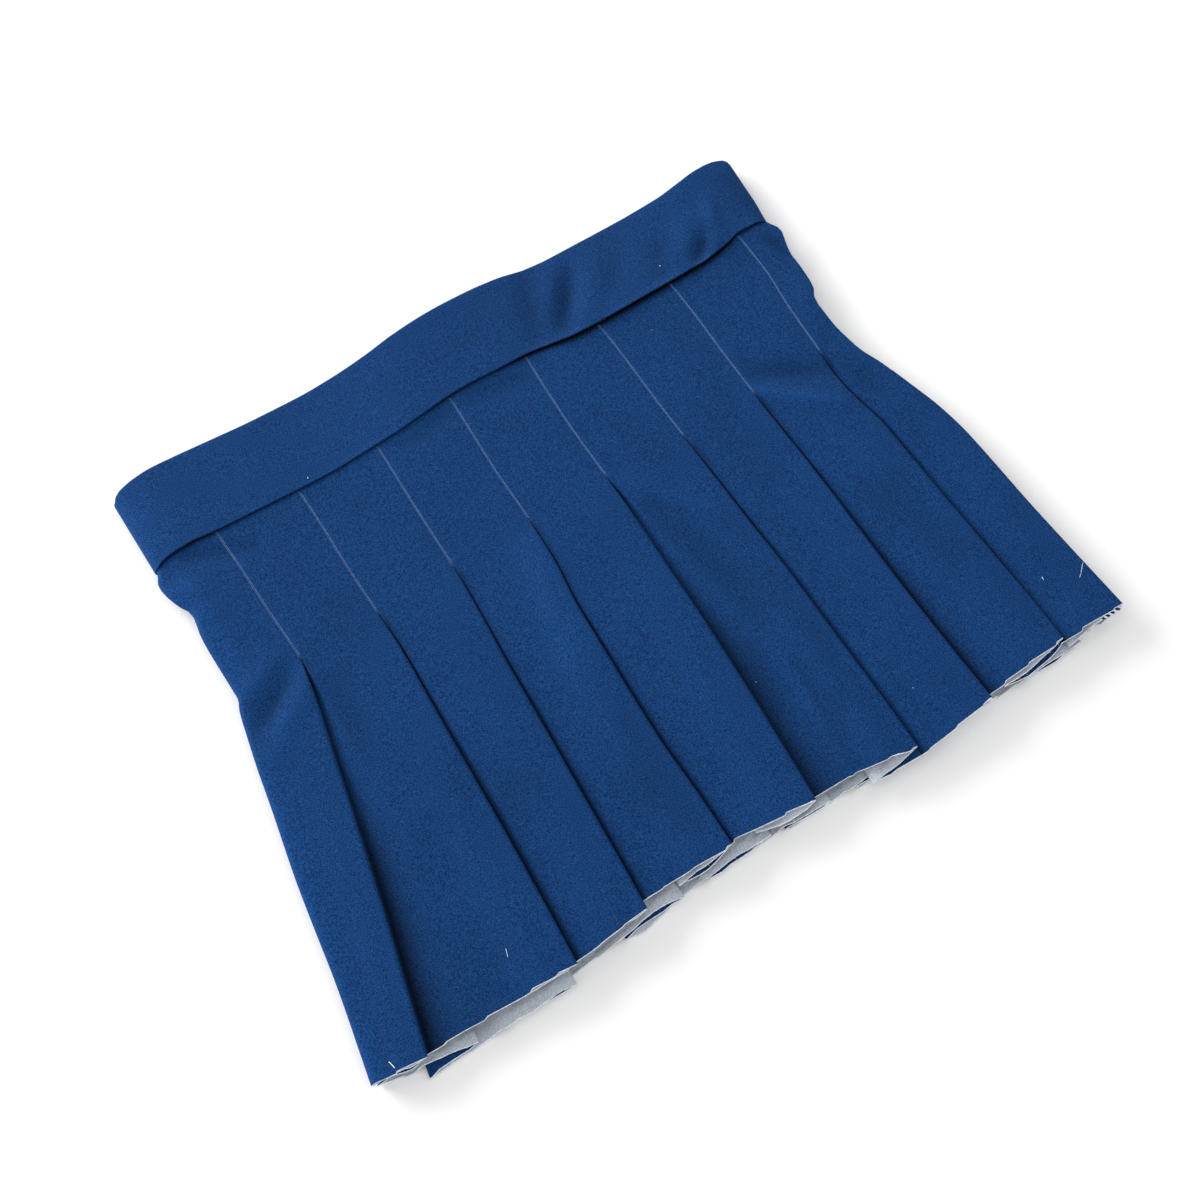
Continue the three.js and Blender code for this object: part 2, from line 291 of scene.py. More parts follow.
# The painted shade in the hollow beside a fold: between which distances below the seam it darkens, gets its last
# dark and widens, its share of dark before that and its width before that, and the power by which it fades away
# from the fold.
FOLD_SHADE_DARKENS = (STITCHED - 5, STITCHED + 6)
FOLD_SHADE_DEEPENS = (140, 170)
FOLD_SHADE_WIDENS = (95, 205)
FOLD_SHADE_EARLY_DARK = 0.88
FOLD_SHADE_EARLY_WIDTH = 1.6
FOLD_SHADE_FADE = 1.5
# How far each front fold strays sideways from its straight line.
FOLD_SWAY = (
    # below, then one column for each pleat
    (0, -1.0, -0.6, -0.2, 0.0, -0.2, -1.2, -0.6, 1.0),
    (20, -0.2, -0.4, -0.7, -0.9, -1.6, -0.5, -0.3, 1.0),
    (45, 0.3, -0.8, -1.4, -1.9, -2.4, -0.5, -0.6, -1.4),
    (70, 1.2, -0.4, -1.6, -1.8, -2.2, 0.0, -0.5, -2.8),
    (90, 1.2, 0.8, -1.4, -1.8, -1.2, 0.5, -0.2, -3.8),
    (120, 0.6, 0.6, -1.8, -3.8, -0.6, 0.8, 0.0, -0.7),
    (150, 0.5, 0.8, -1.3, -3.8, 0.3, 1.5, -0.4, -0.7),
    (185, 0.4, 1.2, -0.7, -3.5, 0.7, 1.2, -0.8, -0.3),
    (220, 0.0, 1.2, 0.0, -1.2, 0.6, 0.9, -0.4, 0.2),
    (245, 0.0, 1.0, 0.4, 0.0, 0.4, 0.4, 0.2, 0.0),
)
LEFT_SEAM_LENGTH = 244.0
RIGHT_SEAM_LENGTH = 244.5

# A crease's height along it: the share that is the same all along, and where on the rest's half wave its ends are.
CREASE_EVEN, CREASE_ENDS = 0.35, 0.15
# Soft ridges (raised) and troughs on the front, from one place to another: x and distance below the seam.
FRONT_CREASES = (
    # x0, below0, x1, below1, width, height
    (-163, 90, -138, 75, 4.5, -1.4),
    (-161, 74, -140, 66, 4.5, 0.9),
    (-160, 101, -134, 82, 5.0, 1.2),
    (-163, 16, -150, 22, 4.0, 0.9),
    (-163, 30, -150, 34, 5.0, 0.6),
    (-150, 6, -122, 15, 4.0, -0.9),
    (-40, 8, -16, 7, 4.0, -0.5),
    (0, 7, 24, 10, 5.0, -0.7),
    (-124, 92, -131, 128, 8.0, -0.6),
    (-17, 84, -29, 140, 9.0, 0.9),
    (-38, 198, -33, 225, 9.0, -0.6),
    (36, 78, 60, 112, 4.0, 0.7),
    (40, 98, 53, 160, 8.0, -0.8),
    (47, 178, 43, 222, 3.5, 0.7),
    (54, 196, 51, 230, 6.0, -0.5),
    (92, 118, 103, 165, 4.0, 0.5),
    (113, 73, 139, 97, 4.0, 1.3),
    (116, 62, 144, 80, 5.0, -1.3),
    (128, 140, 140, 190, 7.0, -0.6),
    (142, 170, 147, 228, 5.0, 0.5),
    (155, 86, 161, 102, 5.0, -0.8),
    (162, 12, 165, 22, 3.5, -0.9),
    (160, 40, 152, 62, 5.0, 0.6),
)
# Soft painted shade on the front, in the same way, with how much darker; painted light where below 0.
FRONT_PAINTED_SHADE = (
    (-164, 93, -142, 78, 4.2, 0.36),
    (-160, 103, -135, 86, 4.0, -0.22),
    (-152, 77, -137, 71, 3.0, -0.1),
    (147.6, 70, 146, 84, 1.3, 0.45),
    (109.3, 71, 109, 82, 1.2, 0.33),
    (-157, 8, -156, 64, 4.0, -0.12),
    (-150, 6, -122, 14, 4.0, 0.2),
    (-162, 4, -160, 8, 3.0, 0.2),
    (-40, 8, -15, 7, 4.0, 0.12),
    (-2, 7, 24, 9, 5.0, 0.17),
    (-123, 92, -129, 126, 7.0, 0.12),
    (-83, 166, -81, 176, 11.0, 0.12),
    (-18, 84, -27, 140, 11.0, -0.2),
    (-40, 100, -42, 160, 9.0, -0.08),
    (-38, 198, -34, 222, 10.0, 0.13),
    (38, 96, 52, 158, 9.0, 0.2),
    (36, 176, 31, 205, 5.0, 0.2),
    (37, 80, 60, 110, 3.5, -0.08),
    (54, 196, 51, 232, 7.0, 0.14),
    (46, 178, 43, 222, 3.0, -0.06),
    (93, 120, 103, 162, 3.0, -0.06),
    (113, 74, 139, 96, 3.5, -0.2),
    (115, 62, 144, 80, 5.0, 0.28),
    (129, 142, 139, 190, 8.0, 0.14),
    (155, 86, 160, 100, 5.0, 0.16),
    (160, 112, 158, 140, 7.0, 0.08),
    (88, 60, 92, 230, 12.0, 0.06),
    (-108, 10, -108, 60, 13.0, 0.07),
    (56, 60, 58, 200, 11.0, 0.06),
    (163, 10, 165, 20, 3.5, 0.3),
)
# How much painted light makes the front paler along its left edge, and how soon that fades.
EDGE_PAINTED_LIGHT, EDGE_PAINTED_LIGHT_WIDTH = 0.3, 9.0
# The same on the waistband, with distances up from the seam.
BAND_CREASES = (
    # x0, up0, x1, up1, width, height
    (52, 40, 40, 4, 6.0, -1.3),
    (72, 32, 54, 6, 4.5, -1.8),
    (62, 36, 50, 12, 5.0, 0.9),
    (84, 30, 68, 6, 6.0, 0.8),
    (98, 30, 84, 10, 5.0, -0.5),
    (119, 24, 107, 6, 5.0, -0.7),
    (140, 12, 127, 3, 3.4, -1.6),
    (134, 24, 122, 6, 5.0, 0.7),
    (149, 24, 139, 6, 4.5, 1.0),
    (164, 32, 163, 6, 5.0, -0.8),
    (-20, 38, -34, 8, 14.0, 0.4),
)
# Soft painted shade on the waistband, in the same way; painted light where below 0.
BAND_PAINTED_SHADE = (
    (54, 39, 42, 5, 6.5, 0.27),
    (71, 30, 54, 7, 4.5, 0.36),
    (98, 28, 85, 10, 4.0, 0.1),
    (119, 22, 107, 6, 5.0, 0.16),
    (140, 11, 127, 3.5, 3.2, 0.4),
    (147, 22, 139, 9, 3.2, -0.2),
    (164, 32, 163, 5, 5.0, 0.22),
    (36, 30, 4, 22, 16.0, 0.07),
    (-160, 36, -160, 8, 9.0, -0.2),
)

# The seam's thread tail at the front's right end, tucked along under the hem.
TAIL = (
    # x, y, height
    (173.2, -244.8, 7.0),
    (175.4, -245.3, 7.8),
    (177.8, -245.5, 8.3),
    (180.6, -245.5, 8.3),
    (183.9, -245.5, 7.8),
)
TAIL_TURNS = 4
TAIL_THREAD = 0.5
TAIL_STEPS = 72
# A height above all the cloth.
ABOVE_ALL = 60.0
# Loose fibres on the knit: how thick, then their places. They are drawn in short steps that stray a little.
LINT_STEP, LINT_STRAY = 0.5, 0.05
LINT = (
    (0.2, (-185.0, -240.4), (-184.2, -243.8)),
    (0.13, (162.9, -215.7), (162.8, -217.3)),
    (0.08, (182.4, -220.0), (180.0, -222.0), (178.2, -223.8), (176.4, -225.0)),
    (0.12, (-122.1, -227.4), (-123.2, -230.6)),
    (0.17, (109.2, 8.6), (109.9, 9.1)),
    (0.17, (-85.8, 1.7), (-85.2, 2.2)),
    (0.07, (87.2, -18.1), (87.6, -17.7)),
    (0.08, (29.3, -187.1), (29.6, -187.5)),
    (0.08, (84.3, -226.3), (84.7, -226.7)),
)

# How far a hem is looked for to each side, and how near to a place it counts.
HEM_REACH, HEM_NEAR = 200, 2.0
# How much painted shadow darkens a lower layer beside the hem above it, where that starts, and how soon it fades.
HEM_SHADE, HEM_SHADE_START, HEM_SHADE_WIDTH = 0.55, 0.25, 1.1
# The snips of the hem's cut: their lengths, how long the jump after each is, and between what strays they slope.
SNIP_LENGTHS, SNIP_JUMP, SNIP_TOPS, SNIP_FEET = (9, 26), 0.6, (0.1, 0.8), (-0.5, 0.0)
# The frayed rim of the hem: its radius, its steps and knots, how uneven it is from knot to knot and more slowly,
# and how far it strays from the cut.
RIM_RADIUS = 0.25
RIM_STEP, RIM_KNOT, RIM_SLOW_KNOTS = 0.75, 1.6, 8
RIM_ROUGH, RIM_SLOW, RIM_STRAY = (0.75, 1.15), (0.8, 1.15), 0.1
# Its loose ends of yarn, and how low and high they may reach.
FIBRES = 110
FIBRE_RADIUS = 0.06
FIBRE_LENGTHS = (0.4, 1.3)
FIBRE_HEIGHTS = (0.1, 10.5)

# Tones from dark to light of the raw cut, of loose yarn and of the tail's dark thread.
CUT_CORE = ((0.55, 0.58, 0.63), (0.8, 0.82, 0.86))
CUT_YARN = ((0.60, 0.66, 0.76), (0.93, 0.96, 1.0))
NAVY_THREAD = ((0.002, 0.006, 0.02), (0.01, 0.03, 0.08))
# How deep the knit's relief is, and the angle up to which it is shaded smooth.
BUMP_DISTANCE = 0.25 * MM
SMOOTH_ANGLE = math.radians(55)

# The table and the lamp, in metres, and the point that the camera looks at, in the cutter's frame.
TABLE_SIZE, TABLE_SINK, TABLE_WHITE = 8, 0.2 * MM, (0.93, 0.93, 0.93)
KEY_SIZE, KEY_PLACE = (2.6, 1.4), (-1.6, 3.0, 0.98)
LOOKED_AT = (-4.92, -116.24, 0.0)

# How finely each stretch of a panel's section is divided.
SAMPLES = {"seam": 3, "roll": 10, "rise": 10, "face": 28, "fold": 8, "return": 6, "inner": 6, "under": 6}
# Distances below the waist seam, and the spacing of the mesh's rows from each to the next.
ROW_SPACING = ((0, 0.6), (3, 1.5), (9, 4), (62, 2), (96, 5), (236, 2), (242, 1))


def smooth_rows(rows, column, at):
    """A column of a table between its rows, as a smooth line through every row that never overshoots."""
    x = np.array([row[0] for row in rows], float)
    y = np.array([row[column] for row in rows], float)
    at = np.clip(np.asarray(at, float), x[0], x[-1])
    slope = np.diff(y) / np.diff(x)
    tangent = np.zeros(len(x))
    same = slope[:-1] * slope[1:] > 0
    tangent[1:-1][same] = 2 * slope[:-1][same] * slope[1:][same] / (slope[:-1] + slope[1:])[same]
    tangent[0], tangent[-1] = slope[0], slope[-1]
    i = np.clip(np.searchsorted(x, at, side="right") - 1, 0, len(x) - 2)
    width = x[i + 1] - x[i]
    t = (at - x[i]) / width
    return (
        y[i] * (1 + 2 * t) * (1 - t) ** 2
        + tangent[i] * width * t * (1 - t) ** 2
        + y[i + 1] * t * t * (3 - 2 * t)
        + tangent[i + 1] * width * t * t * (t - 1)
    )


def blend(first, second, share):
    """The first value at share 0, the second at 1."""
    return first * (1 - share) + second * share


def ease(at, start, end):
    """0 up to start, 1 from end on, and a smooth change between them."""
    t = min(1.0, max(0.0, (at - start) / (end - start)))
    return t * t * (3 - 2 * t)


def level_height(level):
    """Middle height of a layer in a panel's own frame: 0 is the visible one."""
    return STACK - HALF - level * LAYER


def openness(below):
    """0 while a pleat is stitched down, growing to 1 at the hem."""
    return max(0.0, (below - STITCHED) / (LENGTH - STITCHED)) ** FOLD_SWING


def arc(cx, cz, radius, start, end, count):
    """Points on an arc without its first one; angles in degrees."""
    turn = np.radians(np.linspace(start, end, count + 1)[1:])
    return np.stack([cx + radius * np.cos(turn), cz + radius * np.sin(turn)], 1)


def line(a, b, count):
    """Points from a to b without the first one."""
    t = np.linspace(0, 1, count + 1)[1:, None]
    return blend(np.array(a, float), np.array(b, float), t)


def step_up(start, width, height, radius, count):
    """Points of a smooth step: an arc up, a straight slope and an arc back to level, without the first point."""
    # The bends stay a little smaller than those that would leave no slope between them.
    radius = min(radius, 0.96 * (width**2 + height**2) / (4 * height))
    across = math.hypot(width, height - 2 * radius)
    angle = math.atan2(height - 2 * radius, width) + math.asin(min(1.0, 2 * radius / across))
    total = 2 * radius * angle + math.sqrt(max(0.0, across**2 - 4 * radius**2))

    def first_half(s):
        """The place at length s along the first arc and the slope."""
        turned, along = min(s / radius, angle), max(0.0, s - radius * angle)
        x = radius * math.sin(turned) + along * math.cos(angle)
        return np.array([x, radius * (1 - math.cos(turned)) + along * math.sin(angle)])

    points = []
    for s in np.linspace(0, total, count + 1)[1:]:
        points.append(first_half(s) if s < total / 2 else (width, height) - first_half(total - s))
    return np.array(points) + np.array(start)


def fold_over(edge, top, bottom, radius, count):
    """Points of a fold from its top layer round to its bottom one, without the first point."""
    upper = arc(edge - radius, top - radius, radius, 90, 0, count // 2)
    lower = arc(edge - radius, bottom + radius, radius, 0, -90, count // 2 - 1)
    return np.concatenate([upper, [(edge, bottom + radius)], lower])


class Panel:
    """One pleated panel in its own frame, its outer face up."""

    def __init__(self, name, pleats, behind):
        self.name = name
        self.pleats = [Pleat(*row) for row in pleats]
        self.behind = behind
        self.flip = -1 if behind else 1
        self.left_length = RIGHT_SEAM_LENGTH if behind else LEFT_SEAM_LENGTH
        self.right_length = LEFT_SEAM_LENGTH if behind else RIGHT_SEAM_LENGTH

    def edges(self, below):
        """x of the left and right edge."""
        left, right = (float(smooth_rows(OUTLINE, column, below)) for column in (1, 2))
        if self.behind:
            left, right = BACK_INSET - right, -BACK_INSET - left
        return left, right

    def seams(self, below):
        """x of the two side seams, inside the outermost folds."""
        left, right = self.edges(below)
        if self.behind:
            return left - BACK_INSET + SIDE_SEAM_IN - SEAM_GAP, right + BACK_INSET - SIDE_SEAM_IN - SEAM_GAP
        return left + SIDE_SEAM_IN, right - SIDE_SEAM_IN

    def tilt(self, below):
        """How far the folds stand up."""
        return 0.0 if self.behind else float(smooth_rows(OUTLINE, 3, below))

    def folds(self, below):
        """(fold, inner fold) of each pleat at that distance below the waist seam."""
        open_ = openness(below)
        left, right = self.edges(below)
        found = []
        for i, pleat in enumerate(self.pleats):
            side = pleat.stitched is None
            fold = right if side else blend(pleat.stitched, pleat.hem, open_)
            if not side and not self.behind:
                fold += float(smooth_rows(FOLD_SWAY, i + 1, below))
            deep = blend(SIDE_DEPTH if side else UNDERLAY, pleat.depth, open_)
            found.append((fold, max(fold - deep, left + EDGE_CLEARANCE)))
        return found

    def section(self, below):
        """The middle line of the cloth at one distance below the waist seam, as rows of
        x, z, hem length, pale edge (0-1 along a fold's edge), painted shade (0-1 beside a fold)."""
        left, _ = self.edges(below)
        left_seam, right_seam = self.seams(below)
        tilt, open_ = self.tilt(below), openness(below)
        visible, back, under, seam = (level_height(level) for level in range(4))
        rows = []

        def add(points, start, end, worn=0.0, hollow=0.0, bow=0.0, lean=1):
            share = np.linspace(0, 1, len(points) + 1)[1:]
            length = start + (end - start) * share + bow * np.sin(np.pi * share**lean)
            worn, hollow = np.broadcast_to(worn, len(points)), np.broadcast_to(hollow, len(points))
            rows.append(np.column_stack([points, length, worn, hollow]))

        roll = (visible - seam) / 2
        centre = left + HALF + roll
        length = self.left_length
        rows.append(np.array([[left_seam, seam, length, 0, 0]]))
        add(line((left_seam, seam), (centre, seam), SAMPLES["seam"]), length, length)
        add(arc(centre, seam + roll, roll, -90, -270, SAMPLES["roll"]), length, length)
        at = np.array([centre, visible])
        loose = min(1.0, max(0.0, below - STITCHED) / OPENED_OVER)
        radius = blend(PRESSED_FOLD, OPEN_FOLD, min(1.0, FOLD_OPENS_SOONER * loose))
        sewn = min(1.0, max(0.0, (STITCHED + 1 - below) / MARK_FADE)) * min(1.0, below / MARK_START)
        folds = self.folds(below)
        dark, dark_from, dark_width = 0.0, left, 1.0
        for i, (fold, inner) in enumerate(folds):
            pleat = self.pleats[i]
            edge = fold - SHEET / 2
            tip, inner_tip = edge - radius, inner + SHEET / 2 + OPEN_FOLD
            # The face, tilted up towards its fold and standing a little off the layers under it.
            points = line(at, (tip, visible + tilt), SAMPLES["face"])
            over = np.clip((points[:, 0] - inner) / max(tip - inner, 1), 0, 1)
            points[:, 1] = visible + tilt * over + pleat.gape * open_ * np.sin(np.pi * over) ** 2
            # Painted shade from the fold before, fading away from it across this face.
            hollow = dark * np.exp(-(((points[:, 0] - dark_from) / dark_width) ** FOLD_SHADE_FADE))
            add(points, length, pleat.at_fold, 0.0, hollow, pleat.face_bow, lean=2)
            # The fold, and the cloth back under it.
            worn = np.zeros(SAMPLES["fold"])
            worn[1 : SAMPLES["fold"] // 2] = sewn
            at_fold, at_inner = pleat.at_fold, pleat.at_inner
            add(fold_over(edge, visible + tilt, back + tilt, radius, SAMPLES["fold"]), at_fold, at_fold, worn)
            points = line((tip, back + tilt), (inner_tip, back), SAMPLES["return"])
            add(points, at_fold, at_inner, bow=pleat.return_bow)
            add(arc(inner_tip, back - OPEN_FOLD, OPEN_FOLD, 90, 270, SAMPLES["inner"]), at_inner, at_inner)
            if i + 1 == len(self.pleats):
                add(line((inner_tip, under), (right_seam, under), SAMPLES["under"]), at_inner, self.right_length)
                break
            # The underlay forward again, and the rise to the next panel.
            start = fold + blend(STEP_PAST_FOLD, -STEP_UNDER_FOLD, loose)
            width = blend(STITCHED_STEP, min(pleat.rise, folds[i + 1][1] - STEP_CLEARANCE - start), loose)
            points = line((inner_tip, under), (start, under + tilt), SAMPLES["under"])
            add(points, at_inner, pleat.at_next, bow=pleat.under_bow)
            bend = blend(STEP_BEND, STEP_BEND_LOOSE, loose)
            points = step_up((start, under + tilt), width, visible - under - tilt, bend, SAMPLES["rise"])
            worn = np.zeros(SAMPLES["rise"])
            worn[-4:-1] = MARK_ON_RISE * sewn
            # Painted shade beside this fold on the next panel's rise, darkening below the stitching and widening
            # towards the hem.
            deepened = blend(FOLD_SHADE_EARLY_DARK, 1, ease(below, *FOLD_SHADE_DEEPENS))
            dark, dark_from = pleat.dark * ease(below, *FOLD_SHADE_DARKENS) * deepened, fold
            dark_width = blend(FOLD_SHADE_EARLY_WIDTH, pleat.dark_width, ease(below, *FOLD_SHADE_WIDENS))
            away = np.maximum(points[:, 0] - dark_from, 0) / dark_width
            add(points, pleat.at_next, pleat.at_next, worn, dark * np.exp(-(away**FOLD_SHADE_FADE)))
            at, length = np.array([start + width, visible]), pleat.at_next
        return np.concatenate(rows)

    def stray(self, x):
        """How far the waist seam strays from straight at each x."""
        return smooth_rows(BACK_SEAM if self.behind else WAIST_SEAM, 1, np.asarray(x) * self.flip)


FRONT = Panel("front_panel", FRONT_PLEATS, behind=False)
BACK = Panel("back_panel", BACK_PLEATS, behind=True)


def crease_height(creases, x, along):
    """Height that a table of soft ridges and troughs adds at each place."""
    total = np.zeros(np.shape(x))
    for x0, a0, x1, a1, width, height in creases:
        dx, da = x1 - x0, a1 - a0
        share = np.clip(((x - x0) * dx + (along - a0) * da) / (dx * dx + da * da), 0, 1)
        away = np.hypot(x - x0 - share * dx, along - a0 - share * da)
        wave = np.sin(np.pi * blend(CREASE_ENDS, 1 - CREASE_ENDS, share))
        total += height * np.exp(-((away / width) ** 2)) * blend(CREASE_EVEN, 1, wave)
    return total


def cut_jags(u, seed):
    """How far a hem cut by hand in short snips strays from its line: slow slopes, with a jump after each snip."""
    random = np.random.default_rng(seed)
    at, strays = [float(u.min()) - 1], [0.0]
    while at[-1] < u.max():
        at += [at[-1] + random.uniform(*SNIP_LENGTHS), at[-1]]
        at[-1] = at[-2] + SNIP_JUMP
        strays += [random.uniform(*SNIP_TOPS), random.uniform(*SNIP_FEET)]
    return np.interp(u, at, strays)


@functools.cache
def panel_grid(panel):
    """Points of a panel's middle surface on a grid, in millimetres in the cutter's frame, with its flat-cut places
    and its pale edges and painted shade there."""
    below = [LENGTH]
    for (start, spacing), (end, _) in zip(ROW_SPACING, (*ROW_SPACING[1:], (LENGTH, 0))):
        below += np.linspace(start, end, round((end - start) / spacing), endpoint=False).tolist()
    below = np.array(sorted(below))
    data = np.stack([panel.section(b) for b in below])
    x, z, length, worn, hollow = (data[..., k] for k in range(5))
    steps = np.hypot(np.diff(x, axis=1), np.diff(z, axis=1))
    u = np.concatenate([np.zeros((len(below), 1)), np.cumsum(steps, axis=1)], 1)
    u -= u[:, [x.shape[1] // 2]]
    length = length + cut_jags(u[-1], 7 + panel.behind)[None, :]
    down = below[:, None] + np.zeros_like(x)
    fade = np.clip(1 - down / STITCHED, 0, 1)
    y = panel.stray(x) * fade - SEAM_GAP / 2 - down * length / LENGTH
    if not panel.behind:
        lifted = np.clip((z - level_height(2)) / (2 * LAYER), 0, 1)
        sink = SEAM_SINK * np.exp(-((down / SEAM_SINK_WIDTH) ** 2))
        z = z + crease_height(FRONT_CREASES, x, down) * lifted - sink * lifted
        # Painted shadow in the gap under the band's lip.
        gap = smooth_rows(LIP, 2, x)
        under_lip = np.exp(-((np.maximum(down - LIP_PAINTED_SHADOW_START, 0) / gap) ** 2))
        shade = LIP_PAINTED_SHADOW * under_lip * np.clip(gap / LIP_FULL_GAP, 0.1, 1)
        # Painted light along the front's left edge.
        edge = np.array([panel.edges(b)[0] for b in below])[:, None]
        paler = EDGE_PAINTED_LIGHT * np.exp(-np.maximum(x - edge, 0) / EDGE_PAINTED_LIGHT_WIDTH)
        # Broad painted shade and light from the table, on the raised layers only.
        broad = crease_height(FRONT_PAINTED_SHADE, x, down) - paler
        hollow = 1 - (1 - np.maximum(hollow, shade * lifted)) * (1 - broad * lifted)
    if panel.behind:
        x, z = -x, STACK - z
    points = np.stack([x, y, z], -1)
    # Painted shadow beside a hem: the back lies under all of the front's hem, and the front's lower layers under
    # its own top one.
    above = hem_line(panel_grid(FRONT)[0][-1]) if panel.behind else hem_line(points[-1], level_height(0.5))
    beyond = above(x) - y
    fade = np.exp(-np.maximum(beyond, 0) / HEM_SHADE_WIDTH)
    shade = HEM_SHADE * fade * np.clip(beyond / HEM_SHADE_START, 0, 1)
    return points, u, down, worn, 1 - (1 - hollow) * (1 - shade)


def hem_line(hem, above=0.0):
    """How low a hem hangs, as a function of x, counting only its layers above a height."""
    hem = hem[hem[:, 2] > above]
    steps = np.arange(-HEM_REACH, HEM_REACH + 1)
    near = np.abs(hem[:, 0] - steps[:, None]) < HEM_NEAR
    lows = np.where(near, hem[:, 1], np.inf).min(axis=1)
    known = np.isfinite(lows)
    return lambda x: np.interp(x, steps[known], lows[known])


def to_part_frame(points):
    """From the cutter's frame in millimetres to the part's own frame in metres."""
    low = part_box("skirt_front")[0]
    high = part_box("waistband")[1]
    moved = np.asarray(points, float) * MM
    moved[..., 0] += low.x - CAD_LEFT_REACH * MM
    moved[..., 1] += high.y - CAD_BAND_REACH * MM
    return moved


def grid_quads(rows, columns, closed_across, closed_along):
    """Quads through a grid of points [along][across], each from its first corner along and back across."""
    index = np.arange(rows * columns).reshape(rows, columns)
    if closed_along:
        index = np.vstack([index, index[:1]])
    if closed_across:
        index = np.hstack([index, index[:, :1]])
    return np.stack([index[:-1, :-1], index[1:, :-1], index[1:, 1:], index[:-1, 1:]], -1).reshape(-1, 4)


def new_mesh(name, points, faces):
    """A mesh from points in the cutter's frame."""
    mesh = bpy.data.meshes.new(name)
    mesh.from_pydata(to_part_frame(points).tolist(), [], faces)
    mesh.update()
    return mesh


def grid_mesh(name, points, closed=False):
    """A mesh through a grid of points [along][across], which may close both ways."""
    return new_mesh(name, points.reshape(-1, 3), grid_quads(*points.shape[:2], closed, closed).tolist())


def link(name, data):
    """A new object in the scene, of a mesh, a light or a camera."""
    piece = bpy.data.objects.new(name, data)
    bpy.context.scene.collection.objects.link(piece)
    return piece


def select_only(piece):
    """Makes a piece the one that operators work on."""
    bpy.ops.object.select_all(action="DESELECT")
    piece.select_set(True)
    bpy.context.view_layer.objects.active = piece


def lay_uv(mesh, u, v):
    """Flat-cut places as a UV map, in metres, and the same for every corner of a point."""
    layer = mesh.uv_layers.new(name="cut")
    corner = np.zeros(len(mesh.loops), np.int32)
    mesh.loops.foreach_get("vertex_index", corner)
    flat = np.stack([u.ravel()[corner], v.ravel()[corner]], -1) * MM
    layer.data.foreach_set("uv", flat.astype(np.float32).ravel())


def point_value(mesh, name, values):
    """Stores a value on each point of a mesh, which its material reads."""
    attribute = mesh.attributes.new(name, "FLOAT", "POINT")
    attribute.data.foreach_set("value", np.asarray(values, np.float32).ravel())


# Materials


def fill(tree, node, **values):
    """Gives inputs of a node, each named with _ for a space, a socket to link to, a number or a colour."""
    for label, value in values.items():
        feed(tree, node.inputs[label.replace("_", " ")], value)
    return node


def feed(tree, socket, value):
    """Links an input to another node's socket, or sets it."""
    if isinstance(value, bpy.types.NodeSocket):
        tree.links.new(value, socket)
    else:
        socket.default_value = (*value, 1) if isinstance(value, tuple) else value


def new_node(tree, kind, **values):
    """A new shader node with some of its inputs given."""
    return fill(tree, tree.nodes.new("ShaderNode" + kind), **values)


def math_node(tree, operation, *sides):
    """The result of a maths node; each side is a number or a socket."""
    node = new_node(tree, "Math")
    node.operation = operation
    for socket, side in zip(node.inputs, sides):
        feed(tree, socket, side)
    return node.outputs[0]


def mix_node(tree, factor, first, second, kind="RGBA"):
    """A mix of two colours, or with kind FLOAT of two numbers; each side is a value or a socket."""
    node = new_node(tree, "Mix")
    node.data_type = kind
    result, side = {"FLOAT": (0, 2), "RGBA": (2, 6)}[kind]
    for at, value in ((0, factor), (side, first), (side + 1, second)):
        feed(tree, node.inputs[at], value)
    return node.outputs[result]


def map_range(tree, value, start, end, low=0.0, high=1.0):
    """A value between start and end, stretched to lie between low and high."""
    node = new_node(tree, "MapRange", Value=value, From_Min=start, From_Max=end, To_Min=low, To_Max=high)
    return node.outputs["Result"]


def stored_value(tree, name):
    """A value stored on the cloth's points."""
    node = new_node(tree, "Attribute")
    node.attribute_name = name
    return node.outputs["Fac"]


def group_node(tree, name, maker, **values):
    """A node that uses a group, which its maker makes the first time."""
    node = new_node(tree, "Group")
    node.node_tree = bpy.data.node_groups.get(name) or maker(name)
    return fill(tree, node, **values)


def new_group(name, inputs, outputs):
    """An empty group with inputs, given as names and numbers, and named outputs, and its two end nodes."""
    group = bpy.data.node_groups.new(name, "ShaderNodeTree")
    for label, default in inputs.items():
        group.interface.new_socket(label, in_out="INPUT", socket_type="NodeSocketFloat").default_value = default
    for label in outputs:
        group.interface.new_socket(label, in_out="OUTPUT", socket_type="NodeSocketFloat")
    return group, group.nodes.new("NodeGroupInput").outputs, group.nodes.new("NodeGroupOutput")


def knit_group(name):
    """Fine speckle of a smooth interlock knit, its rows of loops, and broad soft differences in tone."""
    counts = {"Speckles per metre": 1900.0, "Wales per metre": 1500.0}
    group, given, out = new_group(name, counts, ("Tone", "Height", "Broad"))
    place = new_node(group, "TexCoord").outputs["Object"]
    fine = new_node(group, "TexNoise", Vector=place, Scale=given["Speckles per metre"], Detail=2.5, Roughness=0.65)
    broad = new_node(group, "TexNoise", Vector=place, Scale=26.0, Detail=3.0)
    cut = new_node(group, "UVMap")
    cut.uv_map = "cut"
    wales = given["Wales per metre"]
    loops = new_node(group, "TexVoronoi", Vector=cut.outputs["UV"], Scale=wales, Randomness=0.35)
    height = mix_node(group, 0.3, fine.outputs["Fac"], loops.outputs["Distance"], "FLOAT")
    fill(group, out, Tone=fine.outputs["Fac"], Height=height, Broad=broad.outputs["Fac"])
    return group


